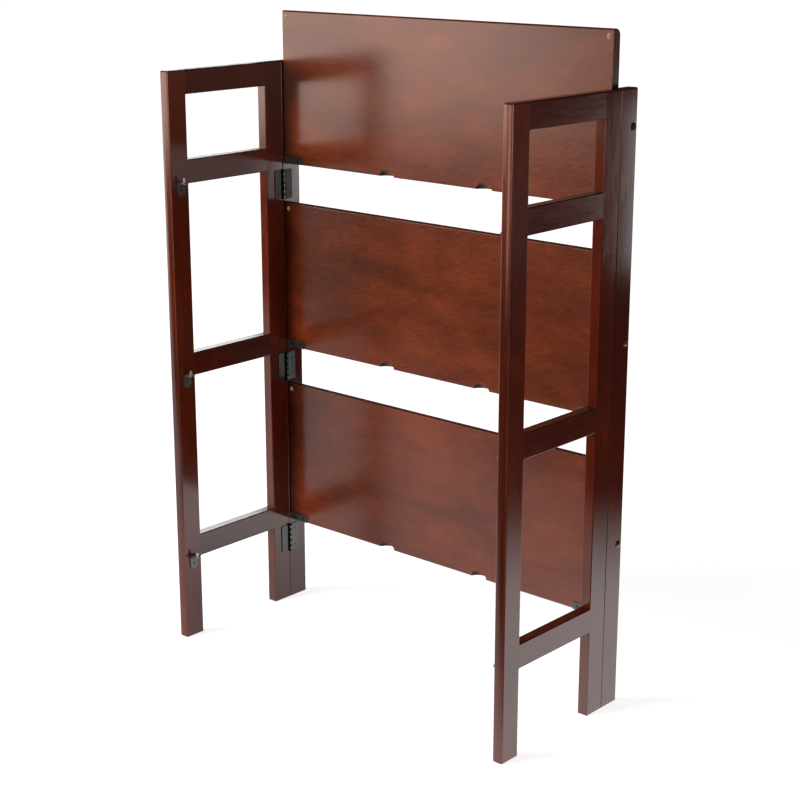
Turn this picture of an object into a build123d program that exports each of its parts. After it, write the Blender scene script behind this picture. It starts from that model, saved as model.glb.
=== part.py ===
from build123d import *
import os

os.makedirs("parts", exist_ok=True)

# ------------------------------------------------------------------ driving dimensions, mm
# X runs across the front, Y from front to back, Z up from the floor.
# Depths below are counted from the front faces of the side frames.
WIDTH = 710.0  # over the outer faces of the side frames
DEPTH = 291.5  # front of the side frames to the back of the posts
HEIGHT = 965.0  # side frames and posts
STOCK = 18.0  # board thickness of frames and posts

FRAME_DEPTH = 251.0  # one side frame, front to back
STILE_WIDTH = 38.0
RAIL_HEIGHT = 39.0
RAIL_UNDERSIDES = {"top": 926.0, "upper": 783.0, "middle": 462.0, "lower": 141.0}
SEAM = 0.5  # gap between a side frame and its post
POST_FRONT = FRAME_DEPTH + SEAM

BACK_RAIL_CENTRES = {"upper": 909.0, "middle": 588.0, "lower": 267.0}
BACK_RAIL_HEIGHT = 38.0
BACK_RAIL_THICK = 20.0
BACK_RAIL_DEPTH = DEPTH - BACK_RAIL_THICK / 2  # centre line of the back rails

SHELF_BOTTOMS = {"upper": 793.0, "middle": 472.0, "lower": 151.0}  # folded up
SHELF_LENGTH = 670.0
SHELF_DEPTH = 255.0
SHELF_THICK = 17.0
SHELF_FACE = 254.0  # the face that looks forward while folded up, the underside in use
PIVOT_BEHIND_FACE = 7.5
PIVOT_ABOVE_EDGE = 2.5
PIVOT_R = 2.5
PIVOT_ENGAGED = 10.0  # pivot pin inside the post

HINGE_CENTRES = (757.0, 436.0, 115.0)
HINGE_TALL = 50.0
HINGE_LEAF = 20.0  # axis to leaf edge
HINGE_THICK = 1.6
HINGE_AXIS_IN = 3.5  # axis inboard of the inner faces
HINGE_AXIS_DEPTH = FRAME_DEPTH + SEAM / 2
KNUCKLE_R = 3.0
KNUCKLE_GAP = 0.3
HINGE_PIN_R = 1.4

LEDGE_TOPS = (787.7, 466.7, 145.7)  # catch ledges, just under the lowered shelves
CATCH_DEPTH = 20.0
CATCH_WIDE = 16.0
CATCH_THICK = 1.8
LEDGE_REACH = 14.0
CATCH_PIN_IN = 10.0  # catch pin inboard of the inner face
CATCH_PIN_R = 2.25
CATCH_PIN_TALL = 8.5

HOLE_BELOW_EDGE = 11.0  # shelf corner holes that drop over the catch pins
HOLE_R, HOLE_RIM = 3.4, 0.4  # bore and the countersink at its mouth
NOTCH_X = 101.5  # notches that let the catch pins pass when the frames are folded in
NOTCH_R, NOTCH_TALL = 16.4, 13.0  # half-width and height of a notch's dome
NOTCH_FORE = 2.0  # axis of the dome in front of the shelf's face

DOWEL_R, DOWEL_LONG = 4.0, 32.0
BACK_DOWEL_R, BACK_DOWEL_LONG, BACK_DOWEL_IN_POST = 3.0, 24.0, 8.5
SCREW_R, SCREW_HEAD_R, SCREW_LONG = 1.6, 3.0, 14.0
BOLT_R, BOLT_HEAD_R, BOLT_HEAD_TALL, BOLT_LONG = 2.25, 3.9, 2.5, 44.0
CAP_R, CAP_TALL, CAP_STEM_R, CAP_STEM_LONG = 6.0, 3.0, 4.0, 4.0
COUNTERBORE = 8.0
CLEAR = 0.05  # radial clearance of every pin, dowel and screw in its hole

EASE_TOP = 2.5  # rounding of the top edges
EASE = 2.5  # rounding of the outer long edges
CROWN = 1.0  # swell of the front stiles' front faces
EASE_NOSE = 10.0  # rounding of a shelf's upper front edge in use
EASE_WINDOW = 1.5  # rounding around the frame openings
EASE_SEAM = 1.2  # rounding along the seam between frame and post
FOOT_CHAMFER = 1.0

# ------------------------------------------------------------------ derived positions
X_OUT = WIDTH / 2
X_IN = X_OUT - STOCK
X_MID = X_OUT - STOCK / 2
SHELF_END = SHELF_LENGTH / 2
PIVOT_DEPTH = SHELF_FACE + PIVOT_BEHIND_FACE
HINGE_X = X_IN - HINGE_AXIS_IN


def fy(depth):
    """Y of a depth counted from the front faces of the side frames."""
    return depth - DEPTH / 2


def drill(points, normal, radius, depth):
    """Blind holes from points on a face with the given outward normal."""
    with Locations(*[Plane(origin=p, z_dir=normal) for p in points]):
        Hole(radius, depth)


def ease_corner(x, y, toward_x, toward_y, r, z0, z1):
    """Round a vertical corner at x, y between two heights; the wood lies toward_x, toward_y."""
    over = 0.5
    with BuildSketch(Plane.XY.offset(z0)) as waste:
        with Locations(
            (x + toward_x * (r - over) / 2, y + toward_y * (r - over) / 2)
        ):
            Rectangle(r + over, r + over)
        with Locations((x + toward_x * r, y + toward_y * r)):
            Circle(r, mode=Mode.SUBTRACT)
    extrude(waste.sketch, amount=z1 - z0, mode=Mode.SUBTRACT)


def save(name, part):
    part.label = name
    export_step(part, f"parts/{name}.step")


def save_pair(name, right):
    """A right-hand piece and its mirror image on the left."""
    save(f"right_{name}", right)
    with BuildPart() as left:
        mirror(right, about=Plane.YZ)
    save(f"left_{name}", left.part)


RAIL_TOPS = {name: z + RAIL_HEIGHT for name, z in RAIL_UNDERSIDES.items()}
WINDOWS = (
    (-1.0, RAIL_UNDERSIDES["lower"]),
    (RAIL_TOPS["lower"], RAIL_UNDERSIDES["middle"]),
    (RAIL_TOPS["middle"], RAIL_UNDERSIDES["upper"]),
    (RAIL_TOPS["upper"], RAIL_UNDERSIDES["top"]),
)
RAIL_DOWEL_Z = [
    z + RAIL_HEIGHT / 2 + side * 10.0
    for z in RAIL_UNDERSIDES.values()
    for side in (-1, 1)
]
LEAF_SCREW_Z = [z + side * 16.5 for z in HINGE_CENTRES for side in (-1, 1)]
LEAF_SCREW_REACH = 13.5
CATCH_SCREW_Z = [z - 12.5 for z in LEDGE_TOPS]
CATCH_PIN_X = X_IN - CATCH_PIN_IN
PIVOT_Z = {name: z + PIVOT_ABOVE_EDGE for name, z in SHELF_BOTTOMS.items()}

# ------------------------------------------------------------------ side frames: stiles
with BuildPart() as front_stile:
    with BuildSketch():
        with BuildLine():
            Polyline(
                (X_IN, fy(CROWN)),
                (X_IN, fy(STILE_WIDTH)),
                (X_OUT, fy(STILE_WIDTH)),
                (X_OUT, fy(CROWN)),
            )
            ThreePointArc((X_OUT, fy(CROWN)), (X_MID, fy(0)), (X_IN, fy(CROWN)))
        make_face()
    extrude(amount=HEIGHT)
    fillet(
        front_stile.faces().sort_by(Axis.Z)[-1].edges().filter_by(Axis.Y), EASE_TOP
    )
    outline = front_stile.faces().sort_by(Axis.Y)[0].edges()
    fillet(outline.sort_by(Axis.Z)[1:], EASE)
    chamfer(front_stile.faces().sort_by(Axis.Z)[0].edges(), FOOT_CHAMFER)
    for z0, z1 in WINDOWS:
        for x, toward in ((X_IN, 1), (X_OUT, -1)):
            ease_corner(x, fy(STILE_WIDTH), toward, -1, EASE_WINDOW, z0, z1)
    drill(
        [(X_MID, fy(STILE_WIDTH), z) for z in RAIL_DOWEL_Z],
        (0, 1, 0),
        DOWEL_R + CLEAR,
        DOWEL_LONG / 2 + 0.5,
    )
    drill(
        [(X_IN, fy(CATCH_DEPTH), z) for z in CATCH_SCREW_Z],
        (-1, 0, 0),
        SCREW_R + CLEAR,
        SCREW_LONG - CATCH_THICK + 0.5,
    )
save_pair("front_stile", front_stile.part)

with BuildPart() as rear_stile:
    with Locations((X_MID, fy(FRAME_DEPTH - STILE_WIDTH / 2), 0)):
        Box(
            STOCK,
            STILE_WIDTH,
            HEIGHT,
            align=(Align.CENTER, Align.CENTER, Align.MIN),
        )
    fillet(rear_stile.faces().sort_by(Axis.Z)[-1].edges().filter_by(Axis.Y), EASE_TOP)
    outline = rear_stile.faces().sort_by(Axis.Y)[-1].edges()
    fillet(outline.sort_by(Axis.Z)[1:], EASE_SEAM)
    chamfer(rear_stile.faces().sort_by(Axis.Z)[0].edges(), FOOT_CHAMFER)
    window_y = fy(FRAME_DEPTH - STILE_WIDTH)
    for z0, z1 in WINDOWS:
        for x, toward in ((X_IN, 1), (X_OUT, -1)):
            ease_corner(x, window_y, toward, 1, EASE_WINDOW, z0, z1)
    drill(
        [(X_MID, window_y, z) for z in RAIL_DOWEL_Z],
        (0, -1, 0),
        DOWEL_R + CLEAR,
        DOWEL_LONG / 2 + 0.5,
    )
    drill(
        [(X_IN, fy(HINGE_AXIS_DEPTH - LEAF_SCREW_REACH), z) for z in LEAF_SCREW_Z],
        (-1, 0, 0),
        SCREW_R + CLEAR,
        SCREW_LONG - HINGE_THICK + 0.5,
    )
save_pair("rear_stile", rear_stile.part)

# ------------------------------------------------------------------ side frames: rails
RAIL_LONG = FRAME_DEPTH - 2 * STILE_WIDTH
RAIL_MID = fy(FRAME_DEPTH / 2)
for name, under in RAIL_UNDERSIDES.items():
    with BuildPart() as rail:
        with Locations((X_MID, RAIL_MID, under + RAIL_HEIGHT / 2)):
            Box(STOCK, RAIL_LONG, RAIL_HEIGHT)
        long_edges = rail.edges().filter_by(Axis.Y)
        top_r = EASE_TOP if name == "top" else EASE_WINDOW
        fillet(long_edges.group_by(Axis.Z)[-1], top_r)
        fillet(rail.edges().filter_by(Axis.Y).group_by(Axis.Z)[0], EASE_WINDOW)
        for end in (-1, 1):
            drill(
                [
                    (
                        X_MID,
                        RAIL_MID + end * RAIL_LONG / 2,
                        under + RAIL_HEIGHT / 2 + side * 10.0,
                    )
                    for side in (-1, 1)
                ],
                (0, end, 0),
                DOWEL_R + CLEAR,
                DOWEL_LONG / 2 + 0.5,
            )
    save_pair(f"{name}_rail", rail.part)

with BuildPart() as dowel:
    Cylinder(DOWEL_R, DOWEL_LONG)
    chamfer(dowel.edges().filter_by(GeomType.CIRCLE), 1.0)
with BuildPart() as frame_dowels:
    with Locations(
        *[
            Location((X_MID, fy(depth), z), (90, 0, 0))
            for depth in (STILE_WIDTH, FRAME_DEPTH - STILE_WIDTH)
            for z in RAIL_DOWEL_Z
        ]
    ):
        add(dowel.part)
save_pair("frame_dowels", frame_dowels.part)

# ------------------------------------------------------------------ back frame: posts
BOLT_DEPTH = BACK_RAIL_DEPTH
with BuildPart() as post:
    with Locations((X_MID, fy((POST_FRONT + DEPTH) / 2), 0)):
        Box(
            STOCK,
            DEPTH - POST_FRONT,
            HEIGHT,
            align=(Align.CENTER, Align.CENTER, Align.MIN),
        )
    fillet(post.faces().sort_by(Axis.Z)[-1].edges().filter_by(Axis.Y), EASE_TOP)
    outline = post.faces().sort_by(Axis.Y)[0].edges()
    fillet(outline.sort_by(Axis.Z)[1:], EASE_SEAM)
    outline = post.faces().sort_by(Axis.Y)[-1].edges()
    fillet(outline.sort_by(Axis.Z)[1:], EASE)
    chamfer(post.faces().sort_by(Axis.Z)[0].edges(), FOOT_CHAMFER)
    bolt_z = list(BACK_RAIL_CENTRES.values())
    drill(
        [(X_OUT, fy(BOLT_DEPTH), z) for z in bolt_z],
        (1, 0, 0),
        BOLT_R + CLEAR,
        STOCK + 1.0,
    )
    drill(
        [(X_OUT, fy(BOLT_DEPTH), z) for z in bolt_z],
        (1, 0, 0),
        CAP_STEM_R + CLEAR,
        COUNTERBORE,
    )
    drill(
        [
            (X_IN, fy(BACK_RAIL_DEPTH), z + side * 11.0)
            for z in bolt_z
            for side in (-1, 1)
        ],
        (-1, 0, 0),
        BACK_DOWEL_R + CLEAR,
        BACK_DOWEL_IN_POST + 0.5,
    )
    drill(
        [(X_IN, fy(PIVOT_DEPTH), z) for z in PIVOT_Z.values()],
        (-1, 0, 0),
        PIVOT_R + CLEAR,
        PIVOT_ENGAGED + 1.0,
    )
    drill(
        [(X_IN, fy(HINGE_AXIS_DEPTH + LEAF_SCREW_REACH), z) for z in LEAF_SCREW_Z],
        (-1, 0, 0),
        SCREW_R + CLEAR,
        SCREW_LONG - HINGE_THICK + 0.5,
    )
save_pair("back_post", post.part)

# ------------------------------------------------------------------ back frame: rails
for name, centre in BACK_RAIL_CENTRES.items():
    with BuildPart() as back_rail:
        with Locations((0, fy(BACK_RAIL_DEPTH), centre)):
            Box(2 * X_IN, BACK_RAIL_THICK, BACK_RAIL_HEIGHT)
        fillet(back_rail.edges().filter_by(Axis.X), EASE)
        for end in (-1, 1):
            drill(
                [(end * X_IN, fy(BOLT_DEPTH), centre)],
                (end, 0, 0),
                BOLT_R + CLEAR,
                BOLT_LONG - (STOCK - COUNTERBORE) + 0.5,
            )
            drill(
                [
                    (end * X_IN, fy(BACK_RAIL_DEPTH), centre + side * 11.0)
                    for side in (-1, 1)
                ],
                (end, 0, 0),
                BACK_DOWEL_R + CLEAR,
                BACK_DOWEL_LONG - BACK_DOWEL_IN_POST + 0.5,
            )
    save(f"{name}_back_rail", back_rail.part)

with BuildPart() as back_dowel:
    Cylinder(BACK_DOWEL_R, BACK_DOWEL_LONG)
    chamfer(back_dowel.edges().filter_by(GeomType.CIRCLE), 0.8)
with BuildPart() as back_rail_dowels:
    middle = X_IN + BACK_DOWEL_IN_POST - BACK_DOWEL_LONG / 2
    with Locations(
        *[
            Location((end * middle, fy(BACK_RAIL_DEPTH), z + side * 11.0), (0, 90, 0))
            for end in (-1, 1)
            for z in BACK_RAIL_CENTRES.values()
            for side in (-1, 1)
        ]
    ):
        add(back_dowel.part)
save("back_rail_dowels", back_rail_dowels.part)

# Pan-head screw through the post into the rail's end grain; local -Z is the way it drives.
with BuildPart() as bolt:
    with BuildSketch(Plane.XZ):
        with BuildLine():
            Polyline(
                (0, BOLT_HEAD_TALL),
                (BOLT_HEAD_R - 0.8, BOLT_HEAD_TALL),
                (BOLT_HEAD_R, BOLT_HEAD_TALL - 1.0),
                (BOLT_HEAD_R, 0),
                (BOLT_R, 0),
                (BOLT_R, -BOLT_LONG + 4.0),
                (0, -BOLT_LONG),
                close=True,
            )
        make_face()
    revolve(axis=Axis.Z)
    with BuildSketch(Plane.XY.offset(BOLT_HEAD_TALL)):
        Rectangle(4.4, 1.0)
        Rectangle(1.0, 4.4)
    extrude(amount=-1.4, mode=Mode.SUBTRACT)
with BuildPart() as back_rail_screws:
    seat = X_OUT - COUNTERBORE
    with Locations(
        *[
            Location((end * seat, fy(BOLT_DEPTH), z), (0, end * 90, 0))
            for end in (-1, 1)
            for z in BACK_RAIL_CENTRES.values()
        ]
    ):
        add(bolt.part)
save("back_rail_screws", back_rail_screws.part)

# Wooden button over each screw: a low dome on a plug.
with BuildPart() as cap:
    with BuildSketch(Plane.XZ):
        with BuildLine():
            Polyline(
                (0, CAP_TALL),
                (0, -CAP_STEM_LONG),
                (CAP_STEM_R, -CAP_STEM_LONG),
                (CAP_STEM_R, 0),
                (CAP_R, 0),
                (CAP_R, 0.6),
            )
            crown = (CAP_R**2 + (CAP_TALL - 0.6) ** 2) / (2 * (CAP_TALL - 0.6))
            half_way = CAP_R * 0.55
            half_tall = CAP_TALL - crown + (crown**2 - half_way**2) ** 0.5
            ThreePointArc((CAP_R, 0.6), (half_way, half_tall), (0, CAP_TALL))
        make_face()
    revolve(axis=Axis.Z)
with BuildPart() as screw_caps:
    with Locations(
        *[
            Location((X_OUT, fy(BOLT_DEPTH), z), (0, 90, 0))
            for z in BACK_RAIL_CENTRES.values()
        ]
    ):
        add(cap.part)
save_pair("screw_caps", screw_caps.part)

# ------------------------------------------------------------------ countersunk screw
# Head flush at local Z = 0, cross recess, plain shank and a point.
with BuildPart() as wood_screw:
    with BuildSketch(Plane.XZ):
        with BuildLine():
            Polyline(
                (0, -0.05),
                (SCREW_HEAD_R, -0.05),
                (SCREW_R, -0.05 - (SCREW_HEAD_R - SCREW_R)),
                (SCREW_R, -SCREW_LONG + 3.0),
                (0, -SCREW_LONG),
                close=True,
            )
        make_face()
    revolve(axis=Axis.Z)
    with BuildSketch(Plane.XY):
        Rectangle(3.4, 0.7)
        Rectangle(0.7, 3.4)
    extrude(amount=-0.95, mode=Mode.SUBTRACT)

# ------------------------------------------------------------------ butt hinges
KNUCKLE = (HINGE_TALL - 4 * KNUCKLE_GAP) / 5
KNUCKLE_Z = [-HINGE_TALL / 2 + i * (KNUCKLE + KNUCKLE_GAP) for i in range(5)]


def hinge_leaf(own, other, away):
    """One leaf at height 0 on the right; away is -1 for the frame's leaf, +1 for the post's."""
    y_axis = fy(HINGE_AXIS_DEPTH)
    with BuildPart() as leaf:
        with BuildSketch(Plane.YZ.offset(X_IN - HINGE_THICK)) as plate:
            with Locations((y_axis + away * HINGE_LEAF / 2, 0)):
                Rectangle(HINGE_LEAF, HINGE_TALL)
            corners = plate.vertices().sort_by(Axis.X)
            fillet(corners[:2] if away < 0 else corners[-2:], 2.0)
        extrude(amount=HINGE_THICK)
        for i in own:
            with Locations((HINGE_X, y_axis, KNUCKLE_Z[i])):
                Cylinder(
                    KNUCKLE_R,
                    KNUCKLE,
                    align=(Align.CENTER, Align.CENTER, Align.MIN),
                )
        for i in other:
            with Locations(
                (
                    X_IN - HINGE_THICK / 2,
                    y_axis + away * 1.6,
                    KNUCKLE_Z[i] - KNUCKLE_GAP,
                )
            ):
                Box(
                    HINGE_THICK + 1.0,
                    4.0,
                    KNUCKLE + 2 * KNUCKLE_GAP,
                    align=(Align.CENTER, Align.CENTER, Align.MIN),
                    mode=Mode.SUBTRACT,
                )
        with Locations((HINGE_X, y_axis, 0)):
            Cylinder(HINGE_PIN_R + CLEAR, HINGE_TALL + 4, mode=Mode.SUBTRACT)
        with Locations(
            *[
                Plane(
                    origin=(
                        X_IN - HINGE_THICK,
                        y_axis + away * LEAF_SCREW_REACH,
                        side * 16.5,
                    ),
                    z_dir=(-1, 0, 0),
                )
                for side in (-1, 1)
            ]
        ):
            CounterSinkHole(
                SCREW_R + 0.1, SCREW_HEAD_R + 0.1, HINGE_THICK + 1.0, 90
            )
    return leaf.part


frame_leaf = hinge_leaf((0, 2, 4), (1, 3), -1)
post_leaf = hinge_leaf((1, 3), (0, 2, 4), 1)
HINGE_SPOTS = [(0, 0, z) for z in HINGE_CENTRES]
with BuildPart() as hinge_frame_leaves:
    with Locations(*HINGE_SPOTS):
        add(frame_leaf)
save_pair("hinge_frame_leaves", hinge_frame_leaves.part)
with BuildPart() as hinge_post_leaves:
    with Locations(*HINGE_SPOTS):
        add(post_leaf)
save_pair("hinge_post_leaves", hinge_post_leaves.part)

with BuildPart() as hinge_pins:
    with Locations(*[(HINGE_X, fy(HINGE_AXIS_DEPTH), z) for z in HINGE_CENTRES]):
        Cylinder(HINGE_PIN_R, HINGE_TALL + 1.0)
    chamfer(hinge_pins.edges().filter_by(GeomType.CIRCLE), 0.4)
save_pair("hinge_pins", hinge_pins.part)

for name, away in (("frame_leaf_screws", -1), ("post_leaf_screws", 1)):
    with BuildPart() as leaf_screws:
        with Locations(
            *[
                Location(
                    (
                        X_IN - HINGE_THICK,
                        fy(HINGE_AXIS_DEPTH + away * LEAF_SCREW_REACH),
                        z,
                    ),
                    (0, -90, 0),
                )
                for z in LEAF_SCREW_Z
            ]
        ):
            add(wood_screw.part)
    save_pair(name, leaf_screws.part)

# ------------------------------------------------------------------ shelf catches
# An L of strip steel with round ends on the inner face of the front stile: screwed plate,
# ledge, upright pin.
with BuildPart() as catch:
    with BuildSketch(Plane.YZ.offset(X_IN - CATCH_THICK)):
        with Locations((fy(CATCH_DEPTH), -7.5)):
            Rectangle(CATCH_WIDE, 15.0)
        with Locations((fy(CATCH_DEPTH), -15.0)):
            Circle(CATCH_WIDE / 2)
    extrude(amount=CATCH_THICK)
    with BuildSketch(Plane.XY.offset(-2.0)):
        straight = LEDGE_REACH - CATCH_WIDE / 2
        with Locations((X_IN - straight / 2, fy(CATCH_DEPTH))):
            Rectangle(straight, CATCH_WIDE)
        with Locations((X_IN - straight, fy(CATCH_DEPTH))):
            Circle(CATCH_WIDE / 2)
        with Locations((X_IN + CATCH_WIDE / 2, fy(CATCH_DEPTH))):
            Rectangle(CATCH_WIDE, 2 * CATCH_WIDE, mode=Mode.SUBTRACT)
    extrude(amount=2.0)
    bend = [
        e
        for e in catch.edges().filter_by(Axis.Y)
        if abs(e.center().X - (X_IN - CATCH_THICK)) < 0.01
        and abs(e.center().Z + 2.0) < 0.01
    ]
    fillet(bend, 1.0)
    with Locations((CATCH_PIN_X, fy(CATCH_DEPTH), 0)):
        Hole(1.5 + CLEAR, 4.0)
    with Locations(
        Plane(
            origin=(X_IN - CATCH_THICK, fy(CATCH_DEPTH), -12.5), z_dir=(-1, 0, 0)
        )
    ):
        CounterSinkHole(SCREW_R + 0.1, SCREW_HEAD_R + 0.1, CATCH_THICK + 1.0, 90)
CATCH_SPOTS = [(0, 0, z) for z in LEDGE_TOPS]
with BuildPart() as shelf_catches:
    with Locations(*CATCH_SPOTS):
        add(catch.part)
save_pair("shelf_catches", shelf_catches.part)

# Shouldered pin, riveted through the ledge.
with BuildPart() as catch_pin:
    with BuildSketch(Plane.XZ):
        with BuildLine():
            Polyline(
                (0, -3.0),
                (2.0, -3.0),
                (2.4, -2.6),
                (2.4, -2.0),
                (1.5, -2.0),
                (1.5, 0),
                (CATCH_PIN_R, 0),
                (CATCH_PIN_R, CATCH_PIN_TALL - 1.2),
                (CATCH_PIN_R - 1.2, CATCH_PIN_TALL),
                (0, CATCH_PIN_TALL),
                close=True,
            )
        make_face()
    revolve(axis=Axis.Z)
with BuildPart() as catch_pins:
    with Locations(*[(CATCH_PIN_X, fy(CATCH_DEPTH), z) for z in LEDGE_TOPS]):
        add(catch_pin.part)
save_pair("catch_pins", catch_pins.part)

with BuildPart() as catch_screws:
    with Locations(
        *[
            Location((X_IN - CATCH_THICK, fy(CATCH_DEPTH), z), (0, -90, 0))
            for z in CATCH_SCREW_Z
        ]
    ):
        add(wood_screw.part)
save_pair("catch_screws", catch_screws.part)

# ------------------------------------------------------------------ shelves
BRACKET_THICK = 1.5
EAR_THICK = 1.4
BRACKET_LONG = 42.0
BRACKET_TALL = 12.5
BRACKET_UP = 0.5  # flange above the shelf's lower edge
BRACKET_SCREW_X = (303.0, 323.0)

for name, bottom in SHELF_BOTTOMS.items():
    top = bottom + SHELF_DEPTH
    pivot_z = bottom + PIVOT_ABOVE_EDGE
    flange_z = bottom + BRACKET_UP + BRACKET_TALL / 2

    with BuildPart() as panel:
        with Locations((0, fy(SHELF_FACE + SHELF_THICK / 2), bottom + SHELF_DEPTH / 2)):
            Box(SHELF_LENGTH, SHELF_THICK, SHELF_DEPTH)
        along = panel.edges().filter_by(Axis.X)
        nose = along.group_by(Axis.Z)[-1].sort_by(Axis.Y)[-1]
        fillet(nose, EASE_NOSE)
        rest = [
            e
            for e in panel.edges().filter_by(Axis.X)
            if e.center().Z < bottom + 0.01 or e.center().Y < fy(SHELF_FACE) + 0.01
        ]
        fillet(rest, EASE)
        fillet(panel.faces().sort_by(Axis.X)[-1].edges(), EASE_WINDOW)
        fillet(panel.faces().sort_by(Axis.X)[0].edges(), EASE_WINDOW)
        # Domed notches in the lower front edge, turned about upright axes before the face.
        with BuildPart(mode=Mode.PRIVATE) as notch:
            with BuildSketch(Plane.XZ):
                with BuildLine():
                    Polyline((0, NOTCH_TALL), (0, -1.0), (NOTCH_R, -1.0), (NOTCH_R, 0))
                    EllipticalCenterArc((0, 0), NOTCH_R, NOTCH_TALL, start_angle=0, arc_size=90)
                make_face()
            revolve(axis=Axis.Z)
        with Locations(
            *[(side * NOTCH_X, fy(SHELF_FACE - NOTCH_FORE), bottom) for side in (-1, 1)]
        ):
            add(notch.part, mode=Mode.SUBTRACT)
        with Locations(
            *[
                Plane(
                    origin=(side * CATCH_PIN_X, fy(SHELF_FACE), top - HOLE_BELOW_EDGE),
                    z_dir=(0, -1, 0),
                )
                for side in (-1, 1)
            ]
        ):
            CounterSinkHole(HOLE_R, HOLE_R + HOLE_RIM, 11.0, 90)
        drill(
            [
                (side * x, fy(SHELF_FACE), flange_z)
                for side in (-1, 1)
                for x in BRACKET_SCREW_X
            ],
            (0, -1, 0),
            SCREW_R + CLEAR,
            SCREW_LONG - BRACKET_THICK + 0.5,
        )
    save(f"{name}_shelf_panel", panel.part)

    with BuildPart() as brackets:
        flange_in = SHELF_END - BRACKET_LONG
        flange_out = SHELF_END + EAR_THICK
        with BuildSketch(Plane.XZ.offset(-fy(SHELF_FACE))) as flange:
            with Locations(((flange_in + flange_out) / 2, flange_z)):
                Rectangle(flange_out - flange_in, BRACKET_TALL)
            fillet(flange.vertices().sort_by(Axis.X)[:2], 1.2)
        extrude(amount=BRACKET_THICK)
        with BuildSketch(Plane.YZ.offset(SHELF_END)):
            with Locations((fy(PIVOT_DEPTH), pivot_z)):
                Circle(5.0)
            with Locations((fy(SHELF_FACE - BRACKET_THICK / 2), flange_z)):
                Rectangle(BRACKET_THICK, BRACKET_TALL)
            make_hull()
        extrude(amount=EAR_THICK)
        drill(
            [(SHELF_END + EAR_THICK, fy(PIVOT_DEPTH), pivot_z)],
            (1, 0, 0),
            2.0 + CLEAR,
            EAR_THICK + 1.0,
        )
        with Locations(
            *[
                Plane(
                    origin=(x, fy(SHELF_FACE - BRACKET_THICK), flange_z),
                    z_dir=(0, -1, 0),
                )
                for x in BRACKET_SCREW_X
            ]
        ):
            CounterSinkHole(
                SCREW_R + 0.1, SCREW_HEAD_R + 0.1, BRACKET_THICK + 1.0, 90
            )
        mirror(about=Plane.YZ)
    save(f"{name}_pivot_brackets", brackets.part)

    with BuildPart() as pivot_pins:
        with BuildSketch(Plane.XY.offset(pivot_z)):
            with BuildLine():
                y = fy(PIVOT_DEPTH)
                Polyline(
                    (SHELF_END, y),
                    (SHELF_END, y + 2.0),
                    (SHELF_END + EAR_THICK, y + 2.0),
                    (SHELF_END + EAR_THICK, y + PIVOT_R),
                    (X_IN + PIVOT_ENGAGED - 0.6, y + PIVOT_R),
                    (X_IN + PIVOT_ENGAGED, y + PIVOT_R - 0.6),
                    (X_IN + PIVOT_ENGAGED, y),
                    close=True,
                )
            make_face()
        revolve(axis=Axis((0, fy(PIVOT_DEPTH), pivot_z), (1, 0, 0)))
        mirror(about=Plane.YZ)
    save(f"{name}_pivot_pins", pivot_pins.part)

    with BuildPart() as bracket_screws:
        with Locations(
            *[
                Location(
                    (side * x, fy(SHELF_FACE - BRACKET_THICK), flange_z), (90, 0, 0)
                )
                for side in (-1, 1)
                for x in BRACKET_SCREW_X
            ]
        ):
            add(wood_screw.part)
    save(f"{name}_bracket_screws", bracket_screws.part)
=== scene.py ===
import math

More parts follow.
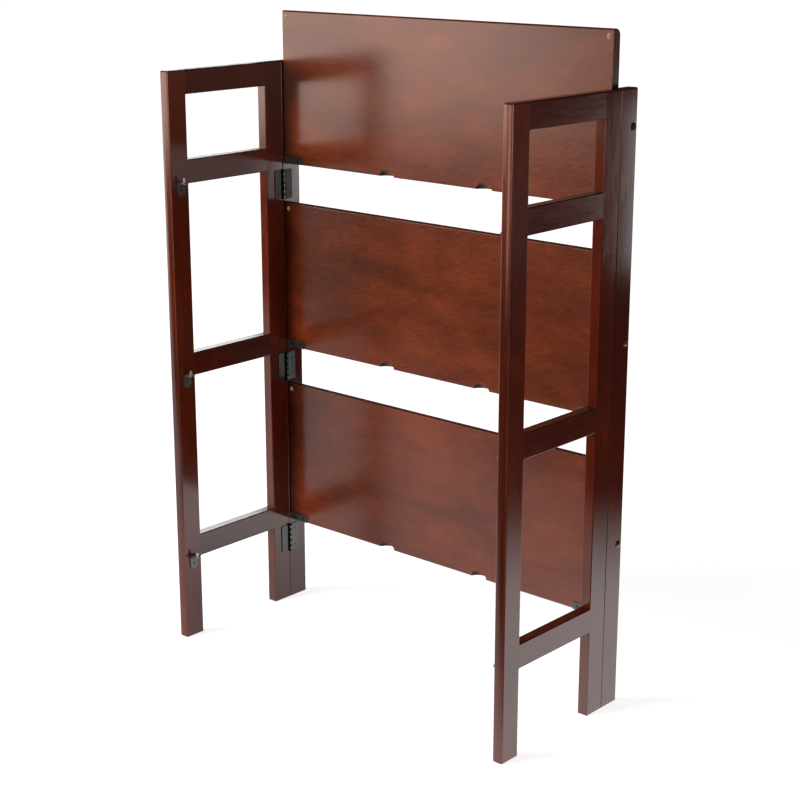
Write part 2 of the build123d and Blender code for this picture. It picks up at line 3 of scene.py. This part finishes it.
import bpy
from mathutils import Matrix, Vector


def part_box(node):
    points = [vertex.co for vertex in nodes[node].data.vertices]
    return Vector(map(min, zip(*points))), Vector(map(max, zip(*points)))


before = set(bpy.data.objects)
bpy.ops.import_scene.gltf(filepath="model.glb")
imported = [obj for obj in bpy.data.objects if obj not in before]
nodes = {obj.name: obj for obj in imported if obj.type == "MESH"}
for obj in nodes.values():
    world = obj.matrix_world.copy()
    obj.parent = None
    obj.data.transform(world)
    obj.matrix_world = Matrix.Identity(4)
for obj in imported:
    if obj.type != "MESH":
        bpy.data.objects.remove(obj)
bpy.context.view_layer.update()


# ------------------------------------------------------------------ small node helpers
class Tree:
    """A material's node tree with short calls for the nodes used below."""

    def __init__(self, name):
        self.mat = bpy.data.materials.new(name)
        self.mat.use_nodes = True
        self.tree = self.mat.node_tree
        self.tree.nodes.clear()
        self.out = self.add("ShaderNodeOutputMaterial")

    def add(self, kind, **props):
        node = self.tree.nodes.new(kind)
        for key, value in props.items():
            setattr(node, key, value)
        return node

    def put(self, socket, value):
        if isinstance(value, bpy.types.NodeSocket):
            self.tree.links.new(value, socket)
        else:
            socket.default_value = value

    def math(self, op, a, b=None, c=None, clamp=False):
        node = self.add("ShaderNodeMath", operation=op, use_clamp=clamp)
        for i, value in enumerate((a, b, c)):
            if value is not None:
                self.put(node.inputs[i], value)
        return node.outputs[0]

    def vmath(self, op, a, b=None):
        node = self.add("ShaderNodeVectorMath", operation=op)
        self.put(node.inputs[0], a)
        if b is not None:
            self.put(node.inputs[1], b)
        return node.outputs[0]

    def span(self, value, lo, hi, to_lo=0.0, to_hi=1.0, smooth=True):
        node = self.add(
            "ShaderNodeMapRange",
            interpolation_type="SMOOTHSTEP" if smooth else "LINEAR",
            clamp=True,
        )
        self.put(node.inputs["Value"], value)
        for key, number in (
            ("From Min", lo),
            ("From Max", hi),
            ("To Min", to_lo),
            ("To Max", to_hi),
        ):
            self.put(node.inputs[key], number)
        return node.outputs[0]

    def noise(self, vector, scale, detail=2.0, rough=0.5, twist=0.0):
        node = self.add("ShaderNodeTexNoise", noise_dimensions="3D")
        self.put(node.inputs["Vector"], vector)
        node.inputs["Scale"].default_value = scale
        node.inputs["Detail"].default_value = detail
        node.inputs["Roughness"].default_value = rough
        node.inputs["Distortion"].default_value = twist
        return node.outputs[0]

    def ramp(self, value, stops):
        node = self.add("ShaderNodeValToRGB")
        self.put(node.inputs[0], value)
        band = node.color_ramp
        while len(band.elements) < len(stops):
            band.elements.new(0.5)
        for element, (at, colour) in zip(band.elements, stops):
            element.position = at
            element.color = (*colour, 1.0)
        return node.outputs[0]

    def mix(self, factor, a, b, blend="MIX"):
        node = self.add("ShaderNodeMix", data_type="RGBA", blend_type=blend)
        self.put(node.inputs[0], factor)
        for socket, value in ((node.inputs[6], a), (node.inputs[7], b)):
            if isinstance(value, tuple) and len(value) == 3:
                value = (*value, 1.0)
            self.put(socket, value)
        return node.outputs[2]

    def gain(self, colour, factor):
        """Colour times a scalar socket."""
        grey = self.add("ShaderNodeCombineColor")
        for i in range(3):
            self.put(grey.inputs[i], factor)
        return self.mix(1.0, colour, grey.outputs[0], "MULTIPLY")


def scaled(t, coords, shift, scale):
    node = t.add("ShaderNodeMapping")
    t.put(node.inputs["Vector"], coords)
    node.inputs["Location"].default_value = shift
    node.inputs["Scale"].default_value = scale
    return node.outputs[0]


# ------------------------------------------------------------------ stained and lacquered wood
AXES = {"X": 0, "Y": 1, "Z": 2}


# Albedo of the stained wood: dark, middle and pale lines of the grain.
SOLID = ((0.068, 0.0074, 0.0020), (0.084, 0.0098, 0.0027), (0.103, 0.0136, 0.0040))
VENEER = ((0.092, 0.0132, 0.0030), (0.125, 0.0200, 0.0046), (0.160, 0.0300, 0.0078))


# Roughness of the lacquer, from the smoothest to the dullest fibre.
POLISH = {"shelf_panel": (0.18, 0.25), "rear_stile": (0.08, 0.12), "back_post": (0.08, 0.12)}


def stained_wood(node, grain, seed, palette, tone=1.0, holes=(), cuts=(), kind=""):
    """Reddish-brown stained hardwood under lacquer; the grain runs along one axis of the board."""
    t = Tree(f"stained_wood_{node}")
    lo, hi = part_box(node)
    g = AXES[grain]
    place = t.add("ShaderNodeTexCoord")
    coords = place.outputs["Object"]
    shift = (seed * 1.713 % 7.0, seed * 2.391 % 7.0, seed * 3.157 % 7.0)

    def stretched(along):
        scale = [1.0, 1.0, 1.0]
        scale[g] = along
        return scaled(t, coords, shift, scale)

    # Stain taken unevenly: soft clouds a hand wide, longer along the grain.
    cloud = t.noise(stretched(0.45), 13.0, 3.0, 0.55, 0.4)
    # Growth bands, wandering a little along the board.
    bands = t.noise(stretched(0.07), 48.0, 4.0, 0.6, 0.7)
    # Fine fibre lines.
    veneer = kind == "shelf_panel"
    fibre = t.noise(stretched(0.13 if veneer else 0.06), 420.0, 5.0, 0.65, 0.2)
    # Open pores: short fine dashes.
    pore = t.span(t.noise(stretched(0.05), 1500.0, 2.0, 0.5), 0.60, 0.74)
    # Fine cross-fleck, as the rays of the wood show.
    fleck = t.span(t.noise(stretched(0.35), 460.0, 3.0, 0.6), 0.54, 0.74)

    figure = t.math(
        "ADD",
        t.math("MULTIPLY", bands, 0.32 if veneer else 0.45),
        t.math("MULTIPLY", fibre, 0.68 if veneer else 0.55),
    )
    colour = t.ramp(
        figure,
        [
            (at, tuple(c * tone for c in shade))
            for at, shade in zip((0.30, 0.50, 0.70), palette)
        ],
    )
    colour = t.gain(colour, t.span(cloud, 0.28, 0.72, *((0.72, 1.28) if veneer else (0.80, 1.20))))
    # Clouds that took less stain lean to orange.
    pale = tuple(c * tone * k for c, k in zip(palette[1], (1.45, 1.75, 1.5)))
    colour = t.mix(t.span(cloud, 0.54, 0.78, 0.0, 0.5), colour, pale)
    colour = t.gain(colour, t.span(pore, 0.0, 1.0, 1.0, 0.74, False))
    colour = t.gain(colour, t.span(fleck, 0.0, 1.0, 1.0, 1.22 if veneer else 1.12, False))

    xyz = t.add("ShaderNodeSeparateXYZ")
    t.put(xyz.inputs[0], coords)
    normal = t.add("ShaderNodeSeparateXYZ")
    t.put(normal.inputs[0], place.outputs["Normal"])
    if kind == "shelf_panel" and not node.startswith("upper"):
        # Painted shadow of the left frame: these two panels are darkened toward their left end, above a strip at the
        # bottom.
        corner = t.math(
            "MULTIPLY",
            t.span(xyz.outputs[0], lo.x + 0.01, lo.x + (0.24 if node.startswith("middle") else 0.13), 1.0, 0.0),
            t.span(xyz.outputs[2], lo.z + 0.05, lo.z + 0.17),
        )
        colour = t.gain(colour, t.span(corner, 0.0, 1.0, 1.0, 0.52, False))
    if kind == "front_stile":
        # The front face is made lighter toward its top and its foot, and darker between.
        front_tone = t.math(
            "MULTIPLY",
            t.span(xyz.outputs[2], *((0.35, 0.90, 0.6, 1.35) if node.startswith("left") else (0.50, 0.96, 0.5, 1.3))),
            t.span(xyz.outputs[2], 0.02, 0.40, 1.9, 1.0),
        )
        front = t.span(normal.outputs[1], -0.7, -0.3, 1.0, 0.0)
        front_tone = t.math("MULTIPLY_ADD", front, t.math("SUBTRACT", front_tone, 1.0), 1.0)
        colour = t.gain(colour, front_tone)
        if node.startswith("left"):
            # The whole inner face of this board is lightened as well: painted sheen, standing in for the reflection
            # on that face.
            colour = t.gain(colour, t.span(normal.outputs[0], 0.3, 0.7, 1.0, 1.5))

    # Distance from the board's faces, for the rounded edges: worn paler stain with a painted highlight on the front
    # stiles, pooled finish with painted shade on boards other than stiles and posts.
    inset = []
    for i in range(3):
        if i == g:
            continue
        below = t.math("SUBTRACT", xyz.outputs[i], lo[i])
        above = t.math("SUBTRACT", hi[i], xyz.outputs[i])
        inset.append(t.math("MINIMUM", below, above))
    near = t.math("MAXIMUM", inset[0], inset[1])
    edge = t.span(near, 0.0003, 0.0024, 1.0, 0.0)
    patch = t.noise(stretched(0.5), 38.0, 3.0)
    if kind == "front_stile":
        # The stain is rubbed thin on the front edges, and their paler colour is also a painted highlight.
        worn_and_highlit = t.math("MULTIPLY", edge, t.span(patch, 0.3, 0.7, 0.35, 0.75))
        worn_and_highlit = t.math("MULTIPLY", worn_and_highlit, t.span(xyz.outputs[1], lo.y + 0.004, lo.y + 0.006, 1.0, 0.0))
        colour = t.mix(worn_and_highlit, colour, (0.30, 0.075, 0.026))
    elif not kind.endswith(("stile", "post")):
        # Rounded edges darkened: finish pooled there, together with painted shade.
        pooled_and_shaded = t.math("MULTIPLY", edge, t.span(patch, 0.3, 0.7, 0.30, 0.55))
        colour = t.gain(colour, t.span(pooled_and_shaded, 0.0, 1.0, 1.0, 0.0, False))

    # End grain drinks more stain.
    ends = t.span(t.math("ABSOLUTE", normal.outputs[g]), 0.75, 0.95)
    speck = t.noise(scaled(t, coords, shift, (1, 1, 1)), 900.0, 2.0)
    if kind != "screw_caps":
        dark_end = t.gain(colour, t.span(speck, 0.3, 0.7, 0.45, 0.75))
        colour = t.mix(ends, colour, dark_end)

    gloss = t.math(
        "ADD",
        t.span(fibre, 0.3, 0.7, *POLISH.get(kind, (0.12, 0.18))),
        t.math("MULTIPLY", t.math("ADD", pore, ends), 0.05),
    )
    relief = t.math(
        "SUBTRACT",
        t.math("MULTIPLY", fibre, 0.5),
        t.math("MULTIPLY", pore, 0.6),
    )

    # Cuts made after the lacquer are matt, and their colour is painted light and shade: brighter where they face
    # forward, making up for the shadow inside the cut, less bright where they face -x, and painted shade on the side
    # facing +x.
    shine = 0.5
    for x, z, wide, tall in cuts:
        dx = t.math("SUBTRACT", xyz.outputs[0], x)
        dy = t.math("SUBTRACT", xyz.outputs[1], lo.y - NOTCH_FORE)
        away = t.math(
            "SQRT",
            t.math("ADD", t.math("MULTIPLY", dx, dx), t.math("MULTIPLY", dy, dy)),
        )
        inside = t.math(
            "MULTIPLY",
            t.span(away, wide / 2 + 0.0001, wide / 2 + 0.0005, 1.0, 0.0),
            t.span(xyz.outputs[2], z + tall, z + tall + 0.0006, 1.0, 0.0),
        )
        cut = t.math("MULTIPLY", inside, t.span(xyz.outputs[1], lo.y + 0.0004, lo.y + 0.0012))
        cut_light_and_shade = t.mix(t.span(normal.outputs[0], -0.60, -0.05), (0.085, 0.030, 0.018), (0.19, 0.076, 0.050))
        cut_light_and_shade = t.mix(t.span(normal.outputs[0], 0.30, 0.80), cut_light_and_shade, (0.045, 0.020, 0.015))
        colour = t.mix(cut, colour, t.gain(cut_light_and_shade, t.span(fibre, 0.3, 0.7, 0.85, 1.15)))
        gloss = t.math("ADD", gloss, t.math("MULTIPLY", cut, 0.4))
        shine = t.math("MULTIPLY", shine, t.span(cut, 0.0, 1.0, 1.0, 0.2))

    # Bored holes through the lacquer show pale bare wood, painted brighter than bare wood to stand in for the light
    # on the hole's wall.
    for x, z, mouth, face in holes:
        dx = t.math("SUBTRACT", xyz.outputs[0], x)
        dz = t.math("SUBTRACT", xyz.outputs[2], z)
        away = t.math(
            "SQRT",
            t.math("ADD", t.math("MULTIPLY", dx, dx), t.math("MULTIPLY", dz, dz)),
        )
        bare = t.math(
            "MULTIPLY",
            t.span(away, mouth, mouth + 0.0002, 1.0, 0.0),
            t.span(xyz.outputs[1], face + 0.00002, face + 0.0001),
        )
        # Deeper than 6 mm the pale wood fades back toward the stain colour: painted shade inside the hole.
        bare = t.math(
            "MULTIPLY",
            bare,
            t.span(xyz.outputs[1], face + 0.006, face + 0.011, 1.0, 0.3),
        )
        raw = t.mix(t.span(fibre, 0.35, 0.65), (0.80, 0.62, 0.44), (0.92, 0.77, 0.58))
        colour = t.mix(bare, colour, raw)
        gloss = t.math("ADD", gloss, t.math("MULTIPLY", bare, 0.4))

    # The broad faces of the frames are rubbed down, and don't mirror the floor when seen edge on.
    rim = t.add("ShaderNodeLayerWeight")
    rim.inputs["Blend"].default_value = 0.5
    rubbed = t.math(
        "MULTIPLY",
        t.span(rim.outputs["Facing"], 0.64, 0.82),
        t.span(t.math("ABSOLUTE", normal.outputs[0]), 0.5, 0.9),
    )
    shine = t.math("MULTIPLY", shine, t.math("SUBTRACT", 1.0, rubbed))

    shader = t.add("ShaderNodeBsdfPrincipled")
    t.put(shader.inputs["Base Color"], colour)
    t.put(shader.inputs["Roughness"], gloss)
    shader.inputs["Specular IOR Level"].default_value = 0.5
    t.put(shader.inputs["Specular IOR Level"], shine)
    shader.inputs["IOR"].default_value = 1.5
    bump = t.add("ShaderNodeBump")
    bump.inputs["Strength"].default_value = 0.03
    bump.inputs["Distance"].default_value = 0.0003
    t.put(bump.inputs["Height"], relief)
    t.put(shader.inputs["Normal"], bump.outputs[0])
    t.put(t.out.inputs["Surface"], shader.outputs[0])
    return t.mat


# ------------------------------------------------------------------ bare dowel wood
def bare_wood(name, grain, seed):
    t = Tree(name)
    coords = t.add("ShaderNodeTexCoord").outputs["Object"]
    scale = [1.0, 1.0, 1.0]
    scale[AXES[grain]] = 0.06
    lines = t.noise(scaled(t, coords, (seed, seed, seed), scale), 420.0, 4.0, 0.6)
    blotch = t.noise(coords, 40.0, 2.0)
    colour = t.ramp(
        lines,
        [(0.3, (0.34, 0.20, 0.10)), (0.55, (0.50, 0.33, 0.18)), (0.75, (0.60, 0.43, 0.25))],
    )
    colour = t.gain(colour, t.span(blotch, 0.3, 0.7, 0.85, 1.1))
    shader = t.add("ShaderNodeBsdfPrincipled")
    t.put(shader.inputs["Base Color"], colour)
    t.put(shader.inputs["Roughness"], t.span(lines, 0.3, 0.7, 0.62, 0.78))
    bump = t.add("ShaderNodeBump")
    bump.inputs["Strength"].default_value = 0.2
    bump.inputs["Distance"].default_value = 0.0003
    t.put(bump.inputs["Height"], lines)
    t.put(shader.inputs["Normal"], bump.outputs[0])
    t.put(t.out.inputs["Surface"], shader.outputs[0])
    return t.mat


# ------------------------------------------------------------------ hardware
def metal(name, dark, light, rough_lo, rough_hi, brushed=None, metallic=1.0, rubbed=False, barrel=None):
    """Plated steel: mottled tone, uneven polish and a fine surface texture."""
    t = Tree(name)
    place = t.add("ShaderNodeTexCoord")
    coords = place.outputs["Object"]
    cloud = t.noise(coords, 130.0, 4.0, 0.6)
    fine = t.noise(coords, 1500.0, 3.0, 0.6)
    lines = fine
    if brushed is not None:
        scale = [1.0, 1.0, 1.0]
        scale[AXES[brushed]] = 0.04
        lines = t.noise(scaled(t, coords, (0, 0, 0), scale), 2600.0, 2.0, 0.5)
    tone = t.math(
        "ADD", t.math("MULTIPLY", cloud, 0.65), t.math("MULTIPLY", lines, 0.35)
    )
    colour = t.ramp(tone, [(0.32, dark), (0.68, light)])
    # Small bright scuffs where the plating has been handled.
    scuff = t.span(t.noise(coords, 260.0, 5.0, 0.7), 0.66, 0.76, 0.0, 0.35)
    colour = t.mix(scuff, colour, tuple(min(1.0, c * 2.0) for c in light))
    shader = t.add("ShaderNodeBsdfPrincipled")
    shader.inputs["Metallic"].default_value = metallic
    normal = t.add("ShaderNodeSeparateXYZ")
    t.put(normal.inputs[0], place.outputs["Normal"])
    if barrel is not None:
        # Painted shade on the flat leaf beside the barrel, standing in for the shadowed gap there; painted highlights
        # in the middle of each knuckle.
        xyz = t.add("ShaderNodeSeparateXYZ")
        t.put(xyz.inputs[0], coords)
        beside = t.math("SUBTRACT", barrel, xyz.outputs[1])
        flat = t.span(t.math("ABSOLUTE", normal.outputs[0]), 0.90, 0.97)
        barrel_shade = t.math(
            "MULTIPLY",
            flat,
            t.math("MULTIPLY", t.span(beside, 0.0005, 0.0012), t.span(beside, 0.0056, 0.0066, 1.0, 0.0)),
        )
        colour = t.gain(colour, t.span(barrel_shade, 0.0, 1.0, 1.0, 0.08, False))
        # Painted highlight in the middle of each knuckle, painted shade at its ends.
        along = t.math("FRACT", t.math("MULTIPLY_ADD", xyz.outputs[2], 100.0, -0.1))
        middle = t.span(t.math("ABSOLUTE", t.math("SUBTRACT", along, 0.5)), 0.12, 0.34, 1.0, 0.0)
        knuckle = t.span(t.math("ABSOLUTE", beside), 0.0026, 0.0034, 1.0, 0.0)
        colour = t.mix(
            t.math("MULTIPLY", knuckle, t.math("SUBTRACT", 1.0, flat)),
            colour,
            t.gain(colour, t.span(middle, 0.0, 1.0, 0.40, 1.9)),
        )
    if rubbed:
        # Bright steel on the upward faces: the shelf has rubbed them bare, and the brightness is also a painted
        # reflection of the bright surroundings.
        bare = t.span(normal.outputs[2], 0.2, 0.75, 0.0, 0.9)
        colour = t.mix(bare, colour, t.ramp(tone, [(0.3, (0.55, 0.53, 0.50)), (0.7, (0.72, 0.70, 0.66))]))
        t.put(shader.inputs["Metallic"], t.span(bare, 0.0, 0.9, 1.0, 0.55))
    t.put(shader.inputs["Base Color"], colour)
    t.put(shader.inputs["Roughness"], t.span(tone, 0.3, 0.7, rough_lo, rough_hi))
    bump = t.add("ShaderNodeBump")
    bump.inputs["Strength"].default_value = 0.06
    bump.inputs["Distance"].default_value = 0.0002
    t.put(bump.inputs["Height"], lines)
    t.put(shader.inputs["Normal"], bump.outputs[0])
    t.put(t.out.inputs["Surface"], shader.outputs[0])
    return t.mat


dark_steel = metal("dark_steel", (0.075, 0.079, 0.072), (0.15, 0.156, 0.145), 0.44, 0.58)
catch_steel = metal("catch_steel", (0.085, 0.084, 0.080), (0.16, 0.158, 0.150), 0.42, 0.56, rubbed=True)
hinge_steel = metal("hinge_steel", (0.050, 0.053, 0.049), (0.090, 0.094, 0.088), 0.30, 0.42, barrel=0.1055)
dark_screw = metal("dark_screw", (0.05, 0.052, 0.048), (0.11, 0.113, 0.106), 0.34, 0.48)
pin_steel = metal("pin_steel", (0.36, 0.35, 0.33), (0.54, 0.53, 0.50), 0.26, 0.38, "Z", 0.6)
pivot_steel = metal("pivot_steel", (0.38, 0.38, 0.365), (0.56, 0.555, 0.54), 0.24, 0.36, "X")
bolt_steel = metal("bolt_steel", (0.42, 0.41, 0.38), (0.58, 0.57, 0.54), 0.28, 0.40, "X")


def dress(node, material):
    mesh = nodes[node].data
    mesh.materials.clear()
    mesh.materials.append(material)


GRAIN = {
    "front_stile": "Z",
    "rear_stile": "Z",
    "back_post": "Z",
    "top_rail": "Y",
    "upper_rail": "Y",
    "middle_rail": "Y",
    "lower_rail": "Y",
    "back_rail": "X",
    "shelf_panel": "X",
    "screw_caps": "X",
}
TONES = (1.0, 0.94, 1.06, 0.9, 1.03, 0.97, 1.08, 0.92)
HOLE_X, HOLE_DOWN, HOLE_MOUTH = 0.327, 0.011, 0.0038
NOTCH_X, NOTCH_WIDE, NOTCH_TALL = 0.1015, 0.0328, 0.0132
NOTCH_FORE = 0.002

for index, name in enumerate(sorted(nodes)):
    kind = next((k for k in GRAIN if name.endswith(k)), None)
    if kind:
        holes, cuts = (), ()
        tone = TONES[(index * 5) % len(TONES)]
        palette = SOLID
        if kind == "shelf_panel":
            lo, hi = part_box(name)
            holes = [
                (side * HOLE_X, hi.z - HOLE_DOWN, HOLE_MOUTH, lo.y) for side in (-1, 1)
            ]
            cuts = [(side * NOTCH_X, lo.z, NOTCH_WIDE, NOTCH_TALL) for side in (-1, 1)]
            tone = 1.0
            palette = VENEER
        dress(
            name,
            stained_wood(
                name,
                GRAIN[kind],
                3.0 + index * 1.37,
                palette,
                tone,
                holes,
                cuts,
                kind,
            ),
        )
    elif name.endswith("dowels"):
        dress(name, bare_wood(f"bare_wood_{name}", "X" if "back" in name else "Y", 2.0 + index))
    elif name.endswith("catch_pins"):
        dress(name, pin_steel)
    elif name.endswith("shelf_catches"):
        dress(name, catch_steel)
    elif name.endswith("pivot_pins"):
        dress(name, pivot_steel)
    elif name == "back_rail_screws":
        dress(name, bolt_steel)
    elif name.endswith("screws"):
        dress(name, dark_screw)
    elif "_hinge_" in name:
        dress(name, hinge_steel)
    else:
        dress(name, dark_steel)


# ------------------------------------------------------------------ floor and studio
def plain(name, colour, strength=0.0, rough=0.9):
    t = Tree(name)
    shader = t.add("ShaderNodeBsdfPrincipled")
    shader.inputs["Base Color"].default_value = (*colour, 1.0)
    shader.inputs["Roughness"].default_value = rough
    shader.inputs["Specular IOR Level"].default_value = 0.0
    if strength:
        shader.inputs["Emission Color"].default_value = (1, 1, 1, 1)
        shader.inputs["Emission Strength"].default_value = strength
    t.put(t.out.inputs["Surface"], shader.outputs[0])
    return t.mat


def glow(name, strength, colour=(1, 1, 1)):
    t = Tree(name)
    light = t.add("ShaderNodeEmission")
    light.inputs["Color"].default_value = (*colour, 1.0)
    light.inputs["Strength"].default_value = strength
    t.put(t.out.inputs["Surface"], light.outputs[0])
    return t.mat


def sheet(name, corners, material):
    mesh = bpy.data.meshes.new(name)
    mesh.from_pydata([tuple(c) for c in corners], [], [tuple(range(len(corners)))])
    obj = bpy.data.objects.new(name, mesh)
    mesh.materials.append(material)
    bpy.context.scene.collection.objects.link(obj)
    return obj


def seen_only_by(obj, camera=False, diffuse=False, glossy=False, shadow=False):
    obj.visible_camera = camera
    obj.visible_diffuse = diffuse
    obj.visible_glossy = glossy
    obj.visible_transmission = False
    obj.visible_volume_scatter = False
    obj.visible_shadow = shadow


def reach(t, coords, centre):
    """Distance from a point on the floor, as a socket."""
    away = t.add("ShaderNodeVectorMath", operation="DISTANCE")
    t.put(away.inputs[0], coords)
    away.inputs[1].default_value = centre
    return away.outputs["Value"]


def heading(t, coords, toward):
    """Cosine of the angle between a floor point's bearing and a direction."""
    unit = t.vmath("NORMALIZE", coords)
    dot = t.add("ShaderNodeVectorMath", operation="DOT_PRODUCT")
    t.put(dot.inputs[0], unit)
    dot.inputs[1].default_value = toward
    return dot.outputs["Value"]


def ground(name, half, height, material):
    return sheet(
        name,
        [(-half, -half, height), (half, -half, height), (half, half, height), (-half, half, height)],
        material,
    )


# Pale floor, lifted a little with distance so that it stays even beyond the lamps.
t = Tree("pale_floor")
shader = t.add("ShaderNodeBsdfPrincipled")
shader.inputs["Base Color"].default_value = (0.9, 0.9, 0.9, 1.0)
shader.inputs["Roughness"].default_value = 0.9
shader.inputs["Specular IOR Level"].default_value = 0.0
shader.inputs["Emission Color"].default_value = (1, 1, 1, 1)
t.put(
    shader.inputs["Emission Strength"],
    t.span(reach(t, t.add("ShaderNodeTexCoord").outputs["Object"], (0, 0, 0)), 0.6, 3.2, 0.80, 0.90),
)
t.put(t.out.inputs["Surface"], shader.outputs[0])
floor = ground("floor", 40.0, -0.0003, t.mat)
floor.visible_glossy = False
floor.visible_diffuse = False

# Light that the floor throws back at the object.
t = Tree("floor_bounce")
light = t.add("ShaderNodeEmission")
t.put(
    light.inputs["Strength"],
    t.span(
        reach(t, t.add("ShaderNodeTexCoord").outputs["Object"], (0.75, 0.2, 0)), 0.3, 1.1, 1.3, 0.75
    ),
)
t.put(t.out.inputs["Surface"], light.outputs[0])
bounce = ground("bounce", 12.0, -0.0004, t.mat)
seen_only_by(bounce, diffuse=True)

# White surroundings for the camera above the horizon.
bpy.ops.mesh.primitive_uv_sphere_add(segments=48, ring_count=24, radius=38.0)
backdrop = bpy.context.object
backdrop.name = "backdrop"
backdrop.data.materials.append(glow("white_backdrop", 1.0))
seen_only_by(backdrop, camera=True)

# What the lacquer mirrors: a dim room round a bright patch of floor.
bpy.ops.mesh.primitive_uv_sphere_add(segments=48, ring_count=24, radius=9.0)
room = bpy.context.object
room.name = "room"
room.data.materials.append(glow("dim_room", 0.035))
seen_only_by(room, glossy=True)

t = Tree("lit_ground")
coords = t.add("ShaderNodeTexCoord").outputs["Object"]


def along(toward):
    dot = t.add("ShaderNodeVectorMath", operation="DOT_PRODUCT")
    t.put(dot.inputs[0], coords)
    dot.inputs[1].default_value = toward
    return dot.outputs["Value"]


# A white sheet with a slanting front edge and a right edge, brighter on the right.
back, across = along((-0.633, 0.774, 0.0)), along((0.774, 0.633, 0.0))
front_edge = t.math(
    "ADD",
    t.span(across, -1.5, -0.3, -0.18, -0.47, False),
    t.span(across, -3.2, -1.5, 0.42, 0.0, False),
)
sheet_mask = t.math(
    "MULTIPLY",
    t.span(t.math("SUBTRACT", back, front_edge), -0.12, 0.12),
    t.span(across, 0.72, 1.38, 1.0, 0.0),
)
level = t.span(across, -0.3, 0.35, 1.05, 2.0)
far = reach(t, coords, (-0.337, -0.017, 0))
corner = t.math(
    "MULTIPLY",
    t.span(heading(t, t.vmath("SUBTRACT", coords, (-0.337, -0.017, 0)), (0.848, 0.530, 0.0)), 0.9781, 0.9863),
    t.math("SUBTRACT", t.span(far, 4.1, 4.8, 0.0, 1.1), t.span(far, 5.9, 6.8, 0.0, 0.6)),
)
strength = t.math("MULTIPLY", sheet_mask, level)
strength = t.math("MAXIMUM", t.math("MAXIMUM", strength, corner), 0.03)
light = t.add("ShaderNodeEmission")
t.put(light.inputs["Strength"], strength)
t.put(t.out.inputs["Surface"], light.outputs[0])
lit_ground = ground("lit_ground", 8.5, -0.0002, t.mat)
seen_only_by(lit_ground, glossy=True)


def card(name, centre, toward, width, tall, strength, soft, colour=(1, 1, 1)):
    """An upright softbox that only shows in reflections, fading toward its rim."""
    t = Tree(f"{name}_light")
    xyz = t.add("ShaderNodeSeparateXYZ")
    t.put(xyz.inputs[0], t.add("ShaderNodeTexCoord").outputs["Object"])
    fade = [
        t.span(t.math("ABSOLUTE", xyz.outputs[i]), size / 2 - rim, size / 2, 1.0, 0.0)
        for i, (size, rim) in enumerate(zip((width, tall), soft))
    ]
    light = t.add("ShaderNodeEmission")
    light.inputs["Color"].default_value = (*colour, 1.0)
    light.inputs["Strength"].default_value = strength
    clear = t.add("ShaderNodeBsdfTransparent")
    both = t.add("ShaderNodeMixShader")
    t.put(both.inputs[0], t.math("MULTIPLY", fade[0], fade[1]))
    t.put(both.inputs[1], clear.outputs[0])
    t.put(both.inputs[2], light.outputs[0])
    t.put(t.out.inputs["Surface"], both.outputs[0])
    w, h = width / 2, tall / 2
    obj = sheet(name, [(-w, -h, 0), (w, -h, 0), (w, h, 0), (-w, h, 0)], t.mat)
    obj.location = centre
    flat = Vector((toward[0] - centre[0], toward[1] - centre[1], 0.0))
    obj.rotation_euler = flat.to_track_quat("Z", "Y").to_euler()
    seen_only_by(obj, glossy=True)
    return obj


card("left_front_box", (-2.33, -2.29, 0.95), (0, 0.1, 0), 1.80, 1.3, 4.6, (0.3, 0.3), (1.0, 0.87, 0.77))
card("left_strip", (-2.38, -1.23, 0.50), (-0.35, -0.15, 0), 0.40, 0.9, 5.0, (0.12, 0.12), (1.0, 0.86, 0.75))
card("front_strip", (-0.76, -2.05, 0.58), (0.35, -0.15, 0), 0.34, 0.9, 5.0, (0.12, 0.30), (1.0, 0.80, 0.65))
card("left_back_wall", (-3.95, 2.20, 1.90), (0, 0, 0), 2.0, 0.9, 4.0, (0.08, 0.08))
card("near_camera_box", (2.65, -2.80, 1.35), (0, 0, 0), 3.2, 2.4, 7.0, (0.5, 0.5), (1.0, 0.82, 0.69))
card("right_back_box", (1.425, 2.04, 0.48), (0.355, 0.126, 0), 0.36, 0.56, 3.7, (0.02, 0.10))

world = bpy.data.worlds.new("studio")
bpy.context.scene.world = world
world.use_nodes = True
world.node_tree.nodes["Background"].inputs["Color"].default_value = (1, 1, 1, 1)
world.node_tree.nodes["Background"].inputs["Strength"].default_value = 0.16


def area(name, at, toward, size, watts, glossy=False):
    lamp = bpy.data.lights.new(name, "AREA")
    lamp.shape = "RECTANGLE"
    lamp.size, lamp.size_y = size
    lamp.energy = watts
    obj = bpy.data.objects.new(name, lamp)
    obj.location = at
    obj.rotation_euler = (Vector(toward) - Vector(at)).to_track_quat("-Z", "Y").to_euler()
    bpy.context.scene.collection.objects.link(obj)
    obj.visible_camera = False
    obj.visible_glossy = glossy
    return obj


area("key", (-2.1, -3.1, 1.6), (0, 0, 0.55), (2.2, 2.0), 150.0)
area("top", (0.2, -0.4, 3.4), (0, 0, 0.3), (3.0, 3.0), 4.0)

# ------------------------------------------------------------------ camera
YAW, PITCH, FOCAL_PX = 0.72850, 0.27910, 1731.35
camera = bpy.data.cameras.new("camera")
camera.sensor_fit = "HORIZONTAL"
camera.sensor_width = 36.0
camera.lens = FOCAL_PX / 800.0 * 36.0
camera.clip_start = 0.05
camera.clip_end = 200.0
camera_object = bpy.data.objects.new("camera", camera)
camera_object.location = (1.77508, -1.96147, 1.21811)
camera_object.rotation_euler = (math.pi / 2 - PITCH, 0.0, YAW)
bpy.context.scene.collection.objects.link(camera_object)
bpy.context.scene.camera = camera_object

view = bpy.context.scene.view_settings
view.view_transform = "Standard"
view.look = "None"
